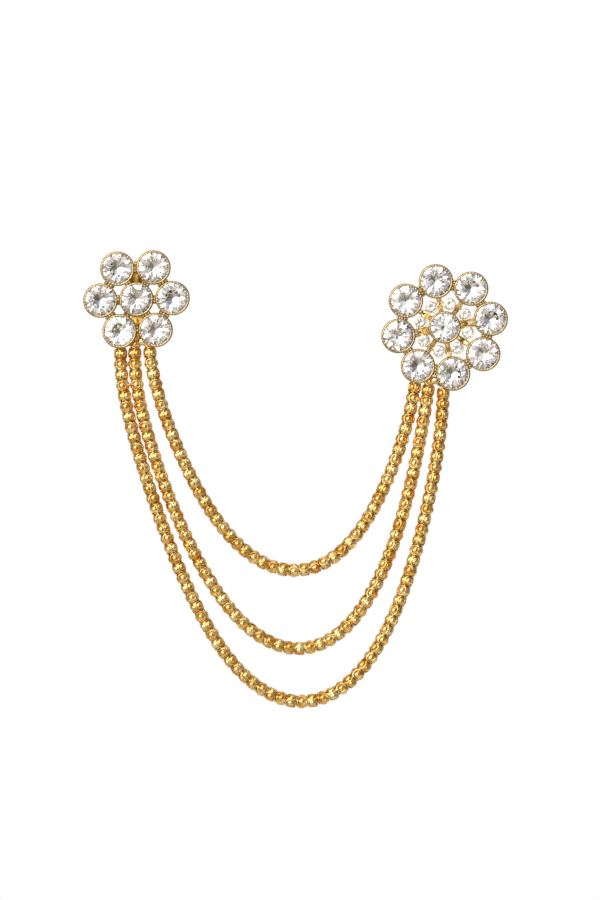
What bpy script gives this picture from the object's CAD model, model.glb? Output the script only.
# %% [markdown]
# # Lapel chain
# Two jewelled flower brooches are joined by three hanging strands of popcorn chain. The settings are cast
# brass under yellow gold plate, the stones are cut glass with a silver foil behind them, and the chain is
# stamped from thin brass sheet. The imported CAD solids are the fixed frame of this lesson. They say where
# every piece sits, and each step below dresses one of them. All sizes are in millimetres, written as on a
# drawing, and one matrix turns them into Blender's metres.

# %% Load the frame
import math
import random

import bmesh
import bpy
from mathutils import Matrix, Vector


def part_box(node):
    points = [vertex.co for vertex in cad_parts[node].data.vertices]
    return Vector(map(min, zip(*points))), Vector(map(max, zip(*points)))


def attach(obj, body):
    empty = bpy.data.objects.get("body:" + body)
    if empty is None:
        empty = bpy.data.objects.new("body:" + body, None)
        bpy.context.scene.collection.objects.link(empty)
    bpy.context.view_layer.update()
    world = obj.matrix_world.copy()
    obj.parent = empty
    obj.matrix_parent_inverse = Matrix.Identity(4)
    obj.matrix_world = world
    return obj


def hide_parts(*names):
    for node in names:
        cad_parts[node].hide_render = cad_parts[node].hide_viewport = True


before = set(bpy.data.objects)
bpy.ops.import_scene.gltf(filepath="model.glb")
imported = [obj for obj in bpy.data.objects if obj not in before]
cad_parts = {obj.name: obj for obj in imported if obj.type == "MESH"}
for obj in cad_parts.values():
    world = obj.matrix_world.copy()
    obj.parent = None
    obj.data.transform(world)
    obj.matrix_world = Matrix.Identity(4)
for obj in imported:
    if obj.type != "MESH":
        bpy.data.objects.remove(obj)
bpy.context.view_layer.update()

MM = 0.001

# %% [markdown]
# ## Where the two brooches are
# A brooch is easiest to think of lying flat on the bench with its stones up. The matrix below stands it up,
# so that its front looks along -Y, turns it a little round its own centre as it is worn, and shrinks
# millimetres to metres. The numbers are the ones that the CAD solids were made with.

# %% Standing a brooch up
SMALL_CENTRE = (-76.8, 7)
LARGE_CENTRE = (0, 0)
SMALL_TURN = 2
LARGE_TURN = -12
SETTING_BACK = 3.5
SMALL_RING_R = 9
LARGE_RING_R = 11.7
ACCENT_RING_R = 6.05
EIGHTH = 45.0
SIXTEENTH = EIGHTH / 2


def rotation(degrees, axis):
    """Rotation about one axis."""
    return Matrix.Rotation(math.radians(degrees), 4, axis)


def stood_up(centre, turn):
    """Matrix from a brooch lying flat, in millimetres, to its place in the frame, in metres."""
    return (Matrix.Scale(MM, 4) @ Matrix.Translation((centre[0], 0, centre[1])) @ rotation(90, "X")
            @ rotation(turn, "Z") @ Matrix.Translation((0, 0, SETTING_BACK)))


def on_ring(radius, height, degrees):
    """A point at a radius, a height and an angle."""
    angle = math.radians(degrees)
    return Vector((radius * math.cos(angle), radius * math.sin(angle), height))


def round_places(count, radius, first=0.0):
    """Points of a ring on the flat brooch."""
    return [on_ring(radius, 0, first + 360 * k / count) for k in range(count)]


SMALL_PLACE = stood_up(SMALL_CENTRE, SMALL_TURN)
LARGE_PLACE = stood_up(LARGE_CENTRE, LARGE_TURN)
MIDDLE = Vector((0, 0, 0))
SMALL_CUPS = round_places(6, SMALL_RING_R)
LARGE_CUPS = round_places(8, LARGE_RING_R, SIXTEENTH)
ACCENT_CUPS = round_places(8, ACCENT_RING_R)
print("small flower cups:", len(SMALL_CUPS) + 1, "large flower cups:", len(LARGE_CUPS) + 1)

# %% [markdown]
# ## Colours and nodes
# Colours are written as sRGB hex values, the way a paint chart gives them, while Blender's nodes want
# linear light. One function turns the one into the other. Another adds a node, sets its values and joins
# its inputs, and a few more stand for the nodes that come again and again, so that each material below
# reads as a short list.

# %% Small helpers for materials


def linear(hex_colour):
    """Linear RGBA from an sRGB hex value such as #d8a440."""
    parts = [int(hex_colour[k:k + 2], 16) / 255 for k in (1, 3, 5)]
    return [p / 12.92 if p <= 0.04045 else ((p + 0.055) / 1.055) ** 2.4 for p in parts] + [1.0]


def add_node(tree, kind, values=None, links=None, **settings):
    """Add a node, set its attributes and input values, and join inputs to other nodes' outputs."""
    node = tree.nodes.new(kind)
    for key, value in settings.items():
        setattr(node, key, value)
    for key, value in (values or {}).items():
        node.inputs[key].default_value = value
    for key, output in (links or {}).items():
        tree.links.new(output, node.inputs[key])
    return node


def new_material(name):
    """An empty node material."""
    material = bpy.data.materials.new(name)
    material.use_nodes = True
    material.node_tree.nodes.clear()
    return material


def surfaced(tree, values, links=None):
    """A principled surface, joined to the material's output."""
    surface = add_node(tree, "ShaderNodeBsdfPrincipled", values, links)
    add_node(tree, "ShaderNodeOutputMaterial", links={"Surface": surface.outputs["BSDF"]})


def noise(tree, where, scale, detail):
    """Soft noise over a place or a direction."""
    node = add_node(tree, "ShaderNodeTexNoise", {"Scale": scale, "Detail": detail}, {"Vector": where})
    return node.outputs["Fac"]


def mapped(tree, value, limits, results, easing="LINEAR"):
    """A value carried over from one pair of limits to another."""
    ends = {"From Min": limits[0], "From Max": limits[1], "To Min": results[0], "To Max": results[1]}
    node = add_node(tree, "ShaderNodeMapRange", ends, {"Value": value}, interpolation_type=easing)
    return node.outputs["Result"]


def ramp(tree, source, stops):
    """Colour ramp over a value, with stops of (position, sRGB hex)."""
    node = add_node(tree, "ShaderNodeValToRGB", links={"Fac": source})
    elements = node.color_ramp.elements
    while len(elements) < len(stops):
        elements.new(0.5)
    for element, (position, colour) in zip(elements, stops):
        element.position = position
        element.color = linear(colour)
    return node.outputs["Color"]


# %% [markdown]
# ## Gold plate
# Costume jewellery is brass with a skin of yellow gold a thousandth of a millimetre thick. The plate keeps
# the polish of the brass under it. What tells the eye that it is cast and tumbled, and not turned, is a
# faint waviness a few tenths of a millimetre wide, and a plate that is a shade redder where it is thick in
# the corners. Both come from noise on Object coordinates. The patterns' scales are worked out from sizes in
# millimetres, because a Noise node draws about as many waves per metre as its Scale says.

# %% Gold materials


def per_metre(size_mm):
    """Scale of a noise whose patches are about this wide."""
    return 1 / (size_mm * MM)


def gold_plate(name, stops, roughness, patch_mm, wave_mm, wave_height_mm):
    """Polished gold plate: patches of colour and gloss, and fine waves from casting or stamping."""
    material = new_material(name)
    tree = material.node_tree
    where = add_node(tree, "ShaderNodeTexCoord").outputs["Object"]
    patches = noise(tree, where, per_metre(patch_mm), detail=2.0)
    waves = noise(tree, where, per_metre(wave_mm), detail=1.0)
    bump = add_node(tree, "ShaderNodeBump", {"Strength": 1.0, "Distance": wave_height_mm * MM},
                    {"Height": waves})
    surfaced(tree, {"Metallic": 1.0},
             {"Base Color": ramp(tree, patches, stops), "Roughness": mapped(tree, patches, (0, 1), roughness),
              "Normal": bump.outputs["Normal"]})
    return material


GRAIN_GOLD = gold_plate("bright_gold_plate_on_milgrain", [(0.3, "#ecdab4"), (0.7, "#faecd2")],
                        (0.08, 0.16), 1.2, 0.6, 0.004)
RIM_GOLD = gold_plate("worn_greyish_gold_plate_on_rims", [(0.3, "#a08a64"), (0.7, "#ccb68e")],
                      (0.1, 0.22), 1.2, 0.6, 0.01)
FRAME_GOLD = gold_plate("yellow_gold_plate_on_cast_frame", [(0.3, "#e8b952"), (0.7, "#f8d98c")],
                        (0.16, 0.32), 1.6, 0.6, 0.02)
BAND_GOLD = gold_plate("cream_gold_plate_on_polished_band", [(0.3, "#fbeccb"), (0.7, "#fff6e2")],
                       (0.08, 0.16), 1.6, 0.8, 0.01)
CHAIN_GOLD = gold_plate("warm_gold_plate_on_stamped_brass", [(0.35, "#e6b259"), (0.65, "#ffe9b0")],
                        (0.05, 0.13), 3.0, 0.9, 0.01)
GROOVE_GOLD = gold_plate("tarnished_gold_plate_in_grooves", [(0.3, "#8e642a"), (0.7, "#bc8a40")],
                         (0.16, 0.3), 2.2, 0.9, 0.01)
PIN_GOLD = gold_plate("gold_plate_on_drawn_wire", [(0.3, "#d9a23c"), (0.7, "#e6b95a")],
                      (0.22, 0.38), 2.5, 0.4, 0.01)

# %% [markdown]
# ## Cut glass and foil
# The stones are lead glass, which bends light more than window glass: its index is about 1.58. Real ones
# are not see-through. Behind the glass is a mirror of silver foil, which throws the light that enters from
# the front back out of the front. So a stone has two finishes: clear glass on the crown and mirror on the
# pavilion. The sparkle isn't painted. Each facet sends the ray another way, to another part of the light.

# %% Stone materials
FOIL_ROUGHNESS = 0.03


def clear_glass(name, colour, index):
    """Polished clear glass."""
    material = new_material(name)
    surfaced(material.node_tree, {"Base Color": linear(colour), "Roughness": 0.0, "IOR": index,
                                  "Transmission Weight": 1.0})
    return material


def silver_foil(name, stops, patch_mm):
    """Mirror foil on the back of the glass, with faint patches where it lies unevenly."""
    material = new_material(name)
    tree = material.node_tree
    where = add_node(tree, "ShaderNodeTexCoord").outputs["Object"]
    patches = noise(tree, where, per_metre(patch_mm), detail=1.0)
    surfaced(tree, {"Metallic": 1.0, "Roughness": FOIL_ROUGHNESS}, {"Base Color": ramp(tree, patches, stops)})
    return material


GLASS = clear_glass("lead_glass_crown", "#fbfbff", 1.58)
FOIL = silver_foil("silver_foil_pavilion", [(0.35, "#ececf4"), (0.65, "#f7f8ff")], 2.0)

# %% [markdown]
# ## Finishing a piece
# A finished piece is one mesh in the frame's own metres, with its object at the origin. Round surfaces are
# shaded smooth, and edges sharper than a chosen angle stay crisp, as they do on a real casting. Whatever
# comes many times, such as a bead or a petal, is made once and kept as a shape that can be copied. Round
# shapes are turned on a lathe: an outline is spun once round Z.

# %% Turn a bmesh into a finished piece
ON_AXIS = 1e-6
SEAM_GAP = 1e-4


def finished(bm, name, materials, place, nodes=(), sharp_deg=None):
    """Make the piece, put it in its place, let it ride on the part and say which nodes it stands for."""
    bm.transform(place)
    mesh = bpy.data.meshes.new(name)
    bm.to_mesh(mesh)
    bm.free()
    for material in materials:
        mesh.materials.append(material)
    if sharp_deg is not None:
        mesh.shade_smooth()
        mesh.set_sharp_from_angle(angle=math.radians(sharp_deg))
    piece = bpy.data.objects.new(name, mesh)
    bpy.context.scene.collection.objects.link(piece)
    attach(piece, "root")
    if nodes:
        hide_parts(*nodes)
    mesh.calc_loop_triangles()
    print(name, "triangles", len(mesh.loop_triangles))


def add_shape(bm, shape, matrix):
    """Add a copy of a kept shape to the bmesh of a piece."""
    before = len(bm.verts)
    bm.from_mesh(shape)
    bm.verts.ensure_lookup_table()
    bmesh.ops.transform(bm, matrix=matrix, verts=bm.verts[before:])


def kept_shape(bm, name, finish=None):
    """Keep a bmesh as a mesh that can be copied many times, all of it in one finish if that is given."""
    if finish is not None:
        for face in bm.faces:
            face.material_index = finish
    shape = bpy.data.meshes.new(name)
    bm.to_mesh(shape)
    bm.free()
    return shape


def turned_shape(outline, steps, name, finish):
    """Shape turned on a lathe from (radius, height) points. An outline off the axis is closed first."""
    bm = bmesh.new()
    verts = [bm.verts.new((radius, 0, height)) for radius, height in outline]
    edges = [bm.edges.new(pair) for pair in zip(verts, verts[1:])]
    if outline[0][0] > ON_AXIS or outline[-1][0] > ON_AXIS:
        edges.append(bm.edges.new((verts[-1], verts[0])))
    bmesh.ops.spin(bm, geom=verts + edges, cent=(0, 0, 0), axis=(0, 0, 1), angle=2 * math.pi, steps=steps,
                   use_merge=True)
    bmesh.ops.remove_doubles(bm, verts=bm.verts, dist=SEAM_GAP)
    bmesh.ops.recalc_face_normals(bm, faces=bm.faces)
    return kept_shape(bm, name, finish)


# %% [markdown]
# ## The stones
# A round brilliant isn't modelled point by point: it is cut, as the glass cutter does it. The rough is a
# short round cylinder, and every facet is one plane that slices off what lies outside it. There are eight
# facets round the table, eight kites and sixteen small ones down to the girdle, then sixteen and eight
# below it that meet in a point. Each cut leaves a hole, which is closed at once. Pressed glass is never
# cut quite alike, and the eye sees it: a point that sits a quarter of a millimetre off the middle, or a
# back that is a little flatter, throws another part of the light to the front. So every stone has a
# slip and a depth of its own.

# %% Cut a brilliant
GLASS_SIDE = 0
FOIL_SIDE = 1
FACING_UP = 0.1
CUT_GAP = 1e-5
ROUGH_SIDES = 48
LOW_SHARE = 0.3
STONE_R = 3.7
CENTRE_R = 3.45
ACCENT_R = 1.2
GIRDLE = 0.16
MAIN_CUT = {"radius": STONE_R, "table": 2, "crown": 1.2, "pavilion": 3, "girdle": GIRDLE}
CENTRE_CUT = {**MAIN_CUT, "radius": CENTRE_R}
ACCENT_CUT = {"radius": ACCENT_R, "table": 0.62, "crown": 0.4, "pavilion": 1, "girdle": GIRDLE}


def cut_facet(bm, a, b, c):
    """Slice off what lies outside the plane through three points, and close the stone again."""
    normal = (b - a).cross(c - a).normalized()
    if normal.dot(a) < 0:
        normal = -normal
    cut = bmesh.ops.bisect_plane(bm, geom=bm.verts[:] + bm.edges[:] + bm.faces[:], dist=CUT_GAP, plane_co=a,
                                 plane_no=normal, clear_outer=True)
    rim = [e for e in cut["geom_cut"] if isinstance(e, bmesh.types.BMEdge)]
    if len(rim) > 2:
        bmesh.ops.contextual_create(bm, geom=rim)


def brilliant(name, radius, table, crown, pavilion, girdle, slip):
    """Round brilliant with its girdle at height 0 and its table up. Its point has slipped sideways."""
    half = girdle / 2
    top = half + crown
    star_r = (radius + table) / 2
    star_z = half + crown * (radius - star_r * math.cos(math.radians(SIXTEENTH))) / (radius - table)
    low_depth = 1 - LOW_SHARE * math.cos(math.radians(SIXTEENTH))
    low_r = LOW_SHARE * radius
    low_z = -half - pavilion * low_depth
    low_slip = slip * low_depth
    culet = Vector((0, 0, -half - pavilion)) + slip
    bm = bmesh.new()
    bmesh.ops.create_cone(bm, cap_ends=True, segments=ROUGH_SIDES, radius1=radius, radius2=radius,
                          depth=2 * (pavilion + crown))
    cut_facet(bm, on_ring(1, top, 0), on_ring(1, top, 120), on_ring(1, top, 240))
    for k in range(8):
        a = k * EIGHTH
        between = a + SIXTEENTH
        star, before = on_ring(star_r, star_z, between), on_ring(star_r, star_z, a - SIXTEENTH)
        cut_facet(bm, star, before, on_ring(radius, half, a))
        cut_facet(bm, on_ring(table, top, a), on_ring(table, top, a + EIGHTH), star)
        cut_facet(bm, star, on_ring(radius, half, a), on_ring(radius, half, between))
        cut_facet(bm, star, on_ring(radius, half, between), on_ring(radius, half, a + EIGHTH))
        low = on_ring(low_r, low_z, between) + low_slip
        low_before = on_ring(low_r, low_z, a - SIXTEENTH) + low_slip
        cut_facet(bm, low, low_before, culet)
        cut_facet(bm, low, on_ring(radius, -half, a), on_ring(radius, -half, between))
        cut_facet(bm, low, on_ring(radius, -half, between), on_ring(radius, -half, a + EIGHTH))
    bmesh.ops.recalc_face_normals(bm, faces=bm.faces)
    for face in bm.faces:
        face.material_index = GLASS_SIDE if face.normal.z > FACING_UP else FOIL_SIDE
    return kept_shape(bm, name)


# %% [markdown]
# Stones set by hand are never quite level. Each one leans about a degree in its cup, another way for each,
# and that little is enough to make neighbours flash differently. The lean stays inside the room that the
# cup leaves round the stone. Numbers that look random come from one seeded generator, so every run agrees.

# %% Set the stones
GIRDLE_HEIGHT = 3.4
ACCENT_GIRDLE_HEIGHT = 2.6
SMALL_LIFT = 0.6
LARGE_LIFT = 0.8
STONE_TURN = 17
LEAN_DEG = 1.2
SLIPS = (0.02, 0.08)
DEPTHS = (0.95, 1.03)
hand = random.Random(7)


def set_stone(cut, node, brooch, spot, height, turn=0):
    """Cut one stone and put it in its cup, turned and leaned a little."""
    way = hand.uniform(0, 360)
    slip = on_ring(cut["radius"] * hand.uniform(*SLIPS), 0, hand.uniform(0, 360))
    pavilion = cut["pavilion"] * hand.uniform(*DEPTHS)
    shape = brilliant(node + "_shape", **{**cut, "pavilion": pavilion}, slip=slip)
    bm = bmesh.new()
    tilt = rotation(way, "Z") @ rotation(LEAN_DEG, "X") @ rotation(-way, "Z")
    add_shape(bm, shape, Matrix.Translation(spot + Vector((0, 0, height))) @ tilt @ rotation(turn, "Z"))
    finished(bm, node + "_cut", [GLASS, FOIL], brooch, [node])


def set_ring(cut, name, brooch, cups, height):
    """Set the stones of one ring, each turned a little further than the one before it."""
    for k, spot in enumerate(cups, 1):
        set_stone(cut, f"{name}_{k}", brooch, spot, height, k * STONE_TURN)


set_ring(MAIN_CUT, "small_stone", SMALL_PLACE, SMALL_CUPS, GIRDLE_HEIGHT)
set_stone(MAIN_CUT, "small_stone_centre", SMALL_PLACE, MIDDLE, GIRDLE_HEIGHT + SMALL_LIFT)
set_ring(MAIN_CUT, "large_stone", LARGE_PLACE, LARGE_CUPS, GIRDLE_HEIGHT)
set_stone(CENTRE_CUT, "large_stone_centre", LARGE_PLACE, MIDDLE, GIRDLE_HEIGHT + LARGE_LIFT)
set_ring(ACCENT_CUT, "accent_stone", LARGE_PLACE, ACCENT_CUPS, ACCENT_GIRDLE_HEIGHT)

# %% [markdown]
# ## The cast settings
# The CAD solids of the settings already have the right shape: cups, rims, spokes and rods. But a CAD mesh
# is loose triangles, each with corners of its own, and loose corners can't be shaded smooth. So the
# mesh is copied, its corners are merged, and the copy stands for the node. In the large flower, what lies
# between the cups, such as the spokes and the ring with the accent cups, was polished before the stones
# went in, and the plate there is thin and creamy. The rims of all large cups are worn to a greyer gold. The
# rest keeps its full yellow, which turns to orange in the corners, where light bounces from gold to gold
# before it leaves. Each face asks two small functions where it lies on the flat brooch.

# %% Copies of the CAD nodes with merged corners
RIM_FOOT = GIRDLE_HEIGHT - 0.25
FRAME_BACK = 0.3
INSIDE_FROM_R = 3.7
INSIDE_TO_R = 9.6
CORNER_GAP = 2e-6
CAST_SHARP = 32


def merged_copy(node, materials, place=None, tests=()):
    """A smooth copy of a CAD node. A face takes the material of the last test it passes, or the first."""
    bm = bmesh.new()
    bm.from_mesh(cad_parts[node].data)
    bmesh.ops.remove_doubles(bm, verts=bm.verts, dist=CORNER_GAP)
    flat = place.inverted() if place else Matrix.Identity(4)
    for face in bm.faces:
        p = flat @ face.calc_center_median()
        face.material_index = max([k for k, test in enumerate(tests, 1) if test(p)], default=0)
    finished(bm, node + "_plated", materials, Matrix.Identity(4), [node], sharp_deg=CAST_SHARP)


def on_rim(p):
    """Whether a point of the flat brooch lies on the rim of a large cup."""
    return p.z > RIM_FOOT


def inside_large(p):
    """Whether it lies between the centre cup and the outer cups of the large flower."""
    return INSIDE_FROM_R < math.hypot(p.x, p.y) < INSIDE_TO_R and FRAME_BACK < p.z < RIM_FOOT


merged_copy("small_setting", [FRAME_GOLD, RIM_GOLD], SMALL_PLACE, [on_rim])
merged_copy("large_setting", [FRAME_GOLD, RIM_GOLD, BAND_GOLD], LARGE_PLACE,
            [on_rim, inside_large])
merged_copy("small_pin_back", [PIN_GOLD])
merged_copy("large_pin_back", [PIN_GOLD])

# %% [markdown]
# ## Milgrain and granules
# A jeweller closes a cup by rolling a small toothed wheel along its rim. That leaves a row of tiny beads,
# called milgrain, which holds the stone and catches the light. Outside the beads runs a thin edge. The
# beads are paler than the frame, because every cloth that passes rubs them, and the deep gold between them
# makes the dotted line. Where two cups meet, small granules of solder fill the notch, and one flat bright
# pad of it lies on each rod, right under the flower. Each bead is a low ball made of a few dozen faces,
# because there are hundreds of them.

# %% Rows of beads on the rims
RIM_RISE = 0.39
ACCENT_RISE = 0.26
GRAIN_COUNT = 32
GRAIN_OUT = 0.2
GRAIN_UP = 0.12
GRAIN_SIZES = (0.88, 1.08)
EDGE_OUT = 0.5
EDGE_TUBE = 0.11
EDGE_DOWN = 0.02
EDGE_CORNERS = 8
EDGE_STEPS = 48
PRONGS = 4
PRONG_OUT = 0.04
PRONG_UP = 0.06
BEAD_SHARP = 70
BEAD_FINISHES = [GRAIN_GOLD, RIM_GOLD, CHAIN_GOLD]
BRIGHT, WORN, WARM = range(3)


def ball_shape(radius, name, finish):
    """A small ball of a few dozen faces."""
    bm = bmesh.new()
    bmesh.ops.create_icosphere(bm, subdivisions=2, radius=radius)
    return kept_shape(bm, name, finish)


GRAIN = ball_shape(0.29, "milgrain_bead", BRIGHT)
FINE_GRAIN = ball_shape(0.2, "prong_bead", BRIGHT)
GRANULE = ball_shape(0.4, "solder_granule", WARM)
SOLDER_PAD = ball_shape(1.1, "solder_pad", BRIGHT)


def ring_outline(radius, tube):
    """Outline of a thin ring's section, for the lathe."""
    angles = [2 * math.pi * k / EDGE_CORNERS for k in range(EDGE_CORNERS)]
    return [(radius + tube * math.cos(a), tube * math.sin(a)) for a in angles]


def grains(bm, spot, ring_r, height, count, grain, first):
    """Beads along one rim, each a little different in size."""
    for k in range(count):
        size = hand.uniform(*GRAIN_SIZES)
        add_shape(bm, grain, Matrix.Translation(spot + on_ring(ring_r, height, first + 360 * k / count))
                  @ Matrix.Scale(size, 4))


def milgrain(bm, spot, stone_r, height):
    """A row of beads on a cup's rim, and the thin edge outside them."""
    grains(bm, spot, stone_r + GRAIN_OUT, height + RIM_RISE + GRAIN_UP, GRAIN_COUNT, GRAIN,
           hand.uniform(0, 10))
    edge = turned_shape(ring_outline(stone_r + EDGE_OUT, EDGE_TUBE), EDGE_STEPS, "rim_edge_shape", WORN)
    add_shape(bm, edge, Matrix.Translation(spot + Vector((0, 0, height + RIM_RISE - EDGE_DOWN))))


# %% [markdown]
# The solder is laid by hand too. Two granules sit at each notch, one towards the flower's middle and one
# outside, and the small flower's backing bar carries two short rows of them.

# %% Solder, and the finished rows
NOTCH_SPOTS = ((-1.15, -0.5), (1.05, -0.3))
NOTCH_SIZES = (0.85, 1.1)
ROW_SIZES = (0.8, 1.1)
ROW_HEIGHT = 2.4
BAR_ROWS = ((-5.2, -9.4, 6), (7.6, 9.4, 3))
PAD_STRETCH = (1.2, 0.9, 0.45, 1)
SMALL_PAD = (1.1, -10.4, 2.05)
LARGE_PAD = (0.5, -13.3, 2.05)


def notch_granules(bm, cups, height):
    """One granule inside and one outside the place where two neighbouring cups meet."""
    for a, b in zip(cups, cups[1:] + cups[:1]):
        middle = (a + b) / 2
        out = middle.normalized()
        for reach, rise in NOTCH_SPOTS:
            add_shape(bm, GRANULE, Matrix.Translation(middle + out * reach + Vector((0, 0, height + rise)))
                      @ Matrix.Scale(hand.uniform(*NOTCH_SIZES), 4))


def granule_row(bm, start, end, count):
    """Granules of solder in a row between two points of the flat brooch."""
    for k in range(count):
        size = hand.uniform(*ROW_SIZES)
        add_shape(bm, GRANULE, Matrix.Translation(start.lerp(end, k / (count - 1))) @ Matrix.Scale(size, 4))


def solder_pad(bm, spot):
    """A flat pad of bright solder on a rod."""
    add_shape(bm, SOLDER_PAD, Matrix.Translation(spot) @ Matrix.Diagonal(PAD_STRETCH))


def flower_beads(cups, centre_r, lift):
    """Milgrain on every large cup of a flower, and granules between the outer ones."""
    bm = bmesh.new()
    for spot in cups:
        milgrain(bm, spot, STONE_R, GIRDLE_HEIGHT)
    milgrain(bm, MIDDLE, centre_r, GIRDLE_HEIGHT + lift)
    notch_granules(bm, cups, GIRDLE_HEIGHT)
    return bm


small_beads = flower_beads(SMALL_CUPS, STONE_R, SMALL_LIFT)
for start, end, count in BAR_ROWS:
    granule_row(small_beads, Vector((0, start, ROW_HEIGHT)), Vector((0, end, ROW_HEIGHT)), count)
solder_pad(small_beads, SMALL_PAD)
finished(small_beads, "small_flower_milgrain", BEAD_FINISHES, SMALL_PLACE,
         sharp_deg=BEAD_SHARP)

large_beads = flower_beads(LARGE_CUPS, CENTRE_R, LARGE_LIFT)
for k, spot in enumerate(ACCENT_CUPS, 1):
    grains(large_beads, spot, ACCENT_R + PRONG_OUT, ACCENT_GIRDLE_HEIGHT + ACCENT_RISE + PRONG_UP, PRONGS,
           FINE_GRAIN, k * EIGHTH)
solder_pad(large_beads, LARGE_PAD)
finished(large_beads, "large_flower_milgrain", BEAD_FINISHES, LARGE_PLACE,
         sharp_deg=BEAD_SHARP)

# %% [markdown]
# ## Popcorn chain
# Each link is stamped from sheet as a cross of four petals. A punch raises a round dome in each petal and
# a ridge round it, and the petals are folded down into a small barrel. No polishing cloth reaches the
# grooves round the domes, so their plate is dull and brown. The next link grips the ball head of the one
# before it, turned by half a petal, so the domes of neighbouring links lie like bricks. One petal is
# turned on the lathe, drawn out to fill its quarter of the barrel and bent over it. All others are copies.

# %% One petal, one barrel and one neck
ON_PETALS, IN_GROOVES = range(2)
LINK_FINISHES = [CHAIN_GOLD, GROOVE_GOLD]
LINK_STEPS = 12
PETAL_OUTLINE = [(0, 1.76), (0.45, 1.69), (0.76, 1.46), (0.92, 1.16), (1.05, 1.42), (1.18, 1.43),
                 (1.3, 1.22), (0, 1.1)]
PETAL_STRETCH = 1.03
ROUND_TO = 0.75
CORNER_POWER = 3
BEND_R = 2.9
BARREL_OUTLINE = [(0, 1.34), (1.2, 1.34), (1.33, 1.2), (1.34, 0.7), (1.34, -0.7), (1.33, -1.2),
                  (1.2, -1.34), (0, -1.34)]
LINK_PITCH = 2.65
NECK_R = 0.42
NECK_START = 1.2
NECK_END = LINK_PITCH - NECK_START
NECK_STEPS = 8


def bent_petal():
    """A petal with its dome along Z, a squarish ridge round it, bent over the barrel that lies along X."""
    shape = turned_shape(PETAL_OUTLINE, LINK_STEPS, "petal_shape", ON_PETALS)
    for vert in shape.vertices:
        x, y, z = vert.co
        radius = math.hypot(x, y)
        if radius > ROUND_TO:
            c, s = abs(x) / radius, abs(y) / radius
            grow = (c ** CORNER_POWER + s ** CORNER_POWER) ** (-1 / CORNER_POWER)
            x, y = x * grow, y * grow
        vert.co = (x * PETAL_STRETCH, y, z - y ** 2 / (2 * BEND_R))
    return shape


PETAL = bent_petal()
BARREL = turned_shape(BARREL_OUTLINE, LINK_STEPS, "barrel_shape", IN_GROOVES)
NECK = turned_shape([(0, NECK_START), (NECK_R, NECK_START), (NECK_R, NECK_END), (0, NECK_END)], NECK_STEPS,
                    "neck_shape", IN_GROOVES)

# %% [markdown]
# ## The route of a strand
# A hanging chain is a catenary. The strands here depart from it a little, because their first links hang
# stiffly from the rods. The row of each strand says by how much, as it does for the CAD solids, and the
# same sums give the same link centres, so every dressed link sits round its own solid.

# %% Walk along a strand in equal steps
ROD_PITCH = 3.5
CHAIN_DEPTH = 4.5
LEAN = 3
HANG_REACH = 18
SMALL_ROD = (-0.8, -10.7)
LARGE_ROD = (-0.9, -13.5)
SAMPLES = 4
HALVINGS = 50
STRANDS = {
    "inner_strand": {"side": -1, "steps": 50, "bow": -0.7, "sway": 0.4, "ripple": -0.2,
                     "small": 1.6, "large": 1.0},
    "middle_strand": {"side": 0, "steps": 65, "bow": -0.4, "sway": 0.4, "ripple": 0.3,
                      "small": 1.9, "large": 0.0},
    "outer_strand": {"side": 1, "steps": 75, "bow": -0.2, "sway": 0.0, "ripple": 0.1,
                     "small": 2.0, "large": 0.9},
}


def turned(x, z, degrees):
    """A point of the front view turned counterclockwise."""
    c, s = math.cos(math.radians(degrees)), math.sin(math.radians(degrees))
    return x * c - z * s, x * s + z * c


def departure(row, u, length):
    """How far a strand stands out from the catenary at a share u of its length."""
    near = u * length / HANG_REACH
    far = (1 - u) * length / HANG_REACH
    return (row["bow"] * math.sin(math.pi * u) + row["sway"] * math.sin(2 * math.pi * u)
            + row["ripple"] * math.sin(3 * math.pi * u) + row["small"] * near * math.exp(1 - near)
            + row["large"] * far * math.exp(1 - far))


def sag_radius(level, arc):
    """Radius of the catenary's lowest bend, found by halving between two safe guesses."""
    low, high = level / 20, level * 4
    for _ in range(HALVINGS):
        middle = (low + high) / 2
        if 2 * middle * math.sinh(level / (2 * middle)) > arc:
            low = middle
        else:
            high = middle
    return (low + high) / 2


def link_places(row):
    """Link centres at equal steps from rod to rod, in millimetres, the rods' two points included."""
    side, steps = row["side"], row["steps"]
    length = steps * LINK_PITCH
    start = turned(SMALL_ROD[0] - side * ROD_PITCH, SMALL_ROD[1], SMALL_TURN)
    end = turned(LARGE_ROD[0] + side * ROD_PITCH, LARGE_ROD[1], LARGE_TURN)
    ax, az = turned(start[0] + SMALL_CENTRE[0], start[1] + SMALL_CENTRE[1], -LEAN)
    bx, bz = turned(end[0], end[1], -LEAN)
    rise = bz - az
    c = sag_radius(bx - ax, math.sqrt(length ** 2 - rise ** 2))
    low_x = (ax + bx) / 2 - c * math.atanh(rise / length)
    first = c * math.sinh((ax - low_x) / c)
    curve = []
    count = steps * SAMPLES
    for k in range(count + 1):
        s = first + length * k / count
        slope = math.atan(s / c)
        out = departure(row, k / count, length)
        x = low_x + c * math.asinh(s / c) + out * math.sin(slope)
        z = az + math.hypot(c, s) - math.hypot(c, first) - out * math.cos(slope)
        curve.append(turned(x, z, LEAN))
    along = [0.0]
    for p, q in zip(curve, curve[1:]):
        along.append(along[-1] + math.dist(p, q))
    places = []
    at = 0
    for k in range(steps + 1):
        s = min(along[-1] * k / steps, along[-1])
        while at < count - 1 and along[at + 1] < s:
            at += 1
        share = (s - along[at]) / (along[at + 1] - along[at])
        x = curve[at][0] + share * (curve[at + 1][0] - curve[at][0])
        z = curve[at][1] + share * (curve[at + 1][1] - curve[at][1])
        places.append(Vector((x, -CHAIN_DEPTH, z)))
    return places


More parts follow.
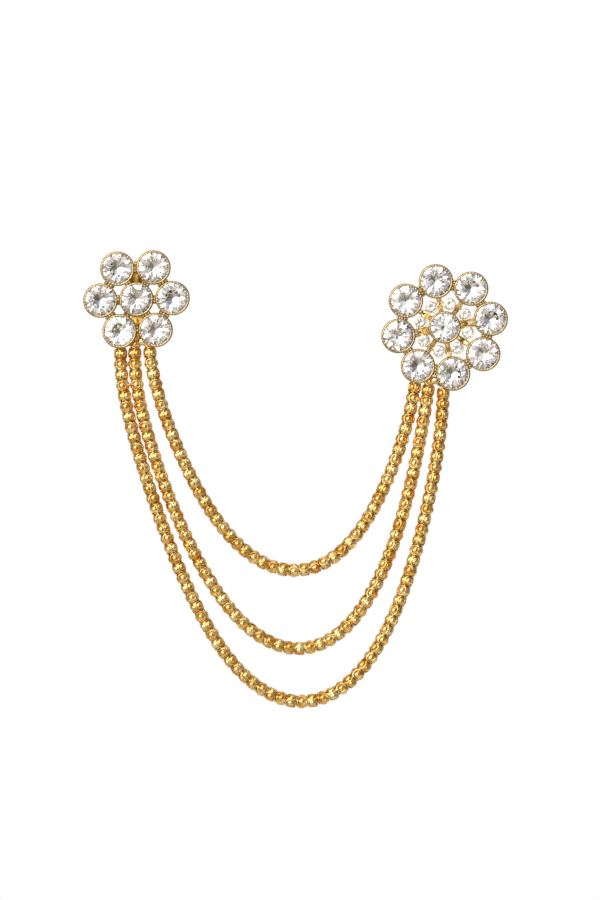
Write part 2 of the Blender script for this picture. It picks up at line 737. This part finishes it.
def pointing(way):
    """Rotation that turns +Z along a direction, the way the CAD links are turned."""
    level = math.hypot(way.x, way.y)
    spin = math.atan2(way.y, way.x) if level > 0 else 0
    return Matrix.Rotation(spin, 4, "Z") @ Matrix.Rotation(math.atan2(level, way.z), 4, "Y")


# %% Build the three strands
LINK_TURN = 47
CHAIN_SHARP = 60


def add_link(bm, here, back, turn, scale=1.0):
    """One link: a barrel with four petals round it."""
    link = (Matrix.Translation(here) @ pointing(here - back) @ rotation(turn, "Z")
            @ Matrix.Scale(scale, 4))
    add_shape(bm, BARREL, link)
    for q in range(4):
        add_shape(bm, PETAL, link @ rotation(90 * q, "Z") @ rotation(90, "Y"))


def strand(node, row):
    """All links of one strand as one piece."""
    places = link_places(row)
    bm = bmesh.new()
    for k in range(1, row["steps"]):
        back, here, ahead = places[k - 1], places[k], places[k + 1]
        add_link(bm, here, back, k * LINK_TURN)
        add_shape(bm, NECK, Matrix.Translation(here) @ pointing(ahead - here))
    finished(bm, node + "_links", LINK_FINISHES, Matrix.Scale(MM, 4), [node],
             sharp_deg=CHAIN_SHARP)
    low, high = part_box(node)
    xs = [p.x * MM for p in places[1:-1]]
    print(node, "links", row["steps"] - 1, "CAD box x", round(low.x, 4), round(high.x, 4),
          "centres x", round(min(xs), 4), round(max(xs), 4))


for node, row in STRANDS.items():
    strand(node, row)

# %% [markdown]
# Loops that are stamped like the links are soldered on the rods, three on the small flower and one in the
# middle of the large one, so the chain seems to come straight out of the cups. They belong to the settings
# and don't move with the strands.

# %% End links on the rods
END_SCALE = 0.86
END_INWARD = 0.12
end_links = bmesh.new()
for node, row in STRANDS.items():
    places = link_places(row)
    for here, inward in ((places[0], places[1]), (places[-1], places[-2])):
        if node == "middle_strand" or here is places[0]:
            add_link(end_links, here.lerp(inward, END_INWARD), inward, 0, END_SCALE)
finished(end_links, "rod_end_links", LINK_FINISHES, Matrix.Scale(MM, 4), sharp_deg=CHAIN_SHARP)

# %% [markdown]
# ## Light
# Gold and cut glass have no look of their own: they show what surrounds them. A jewellery photographer puts
# them in a tent of white cloth and leaves a few dark gaps, because a stone that sees only white goes
# flat. The world below is that tent, drawn by direction: pale in front and behind, dim in a belt at the
# sides, with a small strong lamp above and left of the lens, softer panels and small folds all over. One
# wide fold low on the right is warm and darker, and it is what gives each stone its brownish patch beside
# the middle. The background that the camera sees directly is plain white.

# %% The light tent
BELT_EDGES = (0.1, 0.55)
BELT_LIGHT = (0.18, 0.8)
# Direction, degrees from its middle to where it begins to fade and to its edge, and strength
PANELS = [
    ((-0.7, -0.7, 0.15), 16, 36, 1.2),
    ((-0.25, -0.92, 0.28), 8, 18, 5.6),
    ((0.0, -0.6, 0.8), 14, 30, 0.4),
    ((0.1, -0.7, -0.7), 12, 28, 0.3),
    ((0.0, -1.0, 0.0), 8, 18, 0.3),
    ((0.7, -0.7, 0.12), 12, 30, -0.3),
    ((0.3, -0.8, 0.5), 5, 12, -0.45),
    ((0.0, 0.0, 1.0), 15, 45, 0.7),
]
WIDE_FOLD = ((0.5, -0.8, -0.3), 10, 30, 1.0)
WIDE_FOLD_LIGHT = -0.3
WIDE_FOLD_COLOUR = "#ccb68a"
FOLDS_PER_TURN = 5.0
FOLD_EDGES = (0.42, 0.6)
FOLD_LIGHT = (0.46, 1.24)
TINTS_PER_TURN = 1.6
CLOTH_TINTS = [(0.38, "#fff4d6"), (0.5, "#fcfdf4"), (0.62, "#ecf0fc")]
scene = bpy.context.scene
world = bpy.data.worlds.new("light_tent")
scene.world = world
world.use_nodes = True
sky = world.node_tree
sky.nodes.clear()
direction = add_node(sky, "ShaderNodeTexCoord").outputs["Generated"]


def worked_out(operation, links, values=None):
    """Result of a sum with values of the sky."""
    return add_node(sky, "ShaderNodeMath", values, links, operation=operation).outputs[0]


def panel(way, inner_deg, outer_deg, strength):
    """A round soft panel of light in one direction, as a value that fades from its middle outwards."""
    facing = add_node(sky, "ShaderNodeVectorMath", {1: Vector(way).normalized()}, {0: direction},
                      operation="DOT_PRODUCT")
    edges = (math.cos(math.radians(outer_deg)), math.cos(math.radians(inner_deg)))
    return mapped(sky, facing.outputs["Value"], edges, (0.0, strength), "SMOOTHSTEP")


depth = add_node(sky, "ShaderNodeSeparateXYZ", links={"Vector": direction}).outputs["Y"]
total = mapped(sky, worked_out("ABSOLUTE", {0: depth}), BELT_EDGES, BELT_LIGHT)
for row in PANELS:
    total = worked_out("ADD", {0: total, 1: panel(*row)})
fold = panel(*WIDE_FOLD)
total = worked_out("MULTIPLY_ADD", {0: fold, 2: total}, {1: WIDE_FOLD_LIGHT})
folds = mapped(sky, noise(sky, direction, FOLDS_PER_TURN, detail=1.0), FOLD_EDGES, FOLD_LIGHT, "SMOOTHSTEP")
lit = worked_out("MULTIPLY", {0: total, 1: folds})
cloth = ramp(sky, noise(sky, direction, TINTS_PER_TURN, detail=0.0), CLOTH_TINTS)
# A colour Mix takes its two colours at inputs 6 and 7 and gives the mixed one at output 2
warm = add_node(sky, "ShaderNodeMix", {7: linear(WIDE_FOLD_COLOUR)}, {0: fold, 6: cloth},
                data_type="RGBA").outputs[2]
tent = add_node(sky, "ShaderNodeBackground", links={"Color": warm, "Strength": lit})
plain = add_node(sky, "ShaderNodeBackground", {"Color": linear("#ffffff"), "Strength": 1.0})
seen = add_node(sky, "ShaderNodeLightPath").outputs["Is Camera Ray"]
mixed = add_node(sky, "ShaderNodeMixShader", links={0: seen, 1: tent.outputs[0], 2: plain.outputs[0]})
add_node(sky, "ShaderNodeOutputWorld", links={"Surface": mixed.outputs[0]})

# %% [markdown]
# ## Floor and camera
# The floor is a plain pale disc well below the piece, out of the front view. The camera looks straight at
# the front from a metre away. Its lens follows from the frame: 900 picture points high at a quarter of a
# millimetre each is 225 mm, which a sensor 36 mm high sees from one metre with a lens of 160 mm.

# %% Floor, camera and view
FLOOR_PLACE = (-0.036, 0, -0.32)
FLOOR_R = 0.5
FLOOR_SIDES = 96
PICTURE_HEIGHT = 0.225
PICTURE_CENTRE = (-0.03605, -0.03055)
DISTANCE = 1.0
SENSOR = 36
floor_shape = bmesh.new()
bmesh.ops.create_circle(floor_shape, cap_ends=True, segments=FLOOR_SIDES, radius=FLOOR_R)
floor_shape.transform(Matrix.Translation(FLOOR_PLACE))
floor_mesh = bpy.data.meshes.new("pale_floor")
floor_shape.to_mesh(floor_mesh)
floor_shape.free()
floor = bpy.data.objects.new("pale_floor", floor_mesh)
scene.collection.objects.link(floor)
floor_paint = new_material("matt_pale_floor")
surfaced(floor_paint.node_tree, {"Base Color": linear("#eceae6"), "Roughness": 0.8})
floor_mesh.materials.append(floor_paint)

camera_data = bpy.data.cameras.new("front_camera")
camera_data.sensor_width = SENSOR
camera_data.lens = SENSOR * DISTANCE / PICTURE_HEIGHT
camera = bpy.data.objects.new("front_camera", camera_data)
camera.location = (PICTURE_CENTRE[0], -DISTANCE - CHAIN_DEPTH * MM, PICTURE_CENTRE[1])
camera.rotation_euler = (math.radians(90), 0, 0)
scene.collection.objects.link(camera)
scene.camera = camera
scene.view_settings.view_transform = "Standard"
